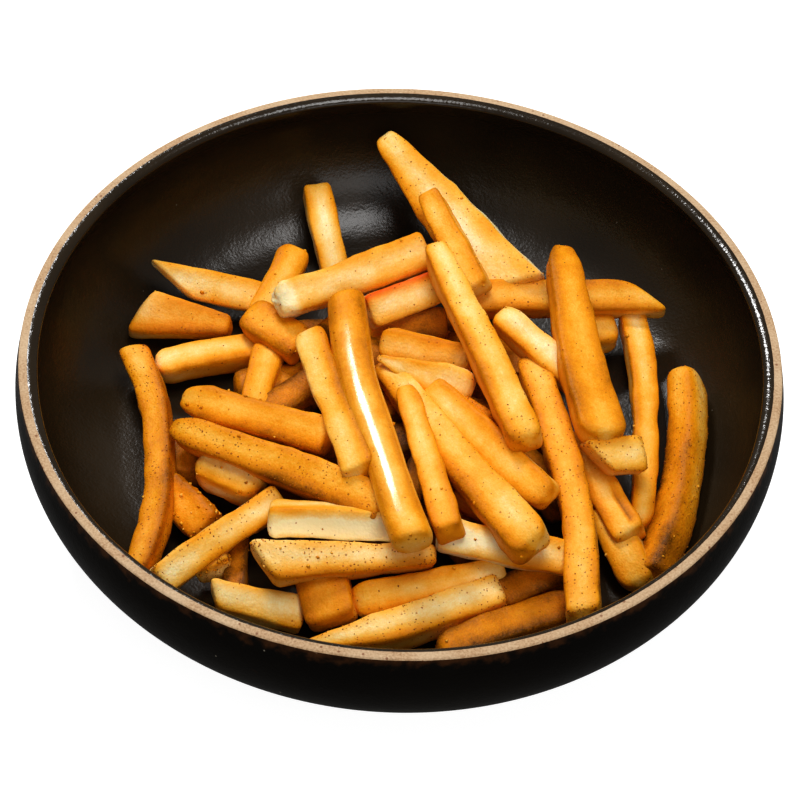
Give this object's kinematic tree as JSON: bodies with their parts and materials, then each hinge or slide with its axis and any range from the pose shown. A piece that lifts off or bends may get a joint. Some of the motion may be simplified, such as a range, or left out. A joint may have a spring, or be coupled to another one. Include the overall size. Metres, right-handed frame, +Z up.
{
  "type": "bowl of french fries",
  "caption": "Straight-cut french fries heaped in a wide shallow stoneware bowl, dark glazed inside and out, with a bare clay rim and a low foot ring.",
  "frame": {"origin": "centre of the bowl's foot, on the surface it stands on", "axes": "+Z up, +X to the right and +Y away from the side that is seen first; the bowl is round about +Z"},
  "size_m": [0.203, 0.203, 0.05],
  "materials": {
    "glaze": "satin black glaze, bare buff clay on the rim",
    "fried_potato": "thin crisp crust with a little oil, browned edges, ground spice"
  },
  "bodies": {
    "root": {"bowl": "glaze", "fries": "fried_potato"}
  },
  "joints": []
}
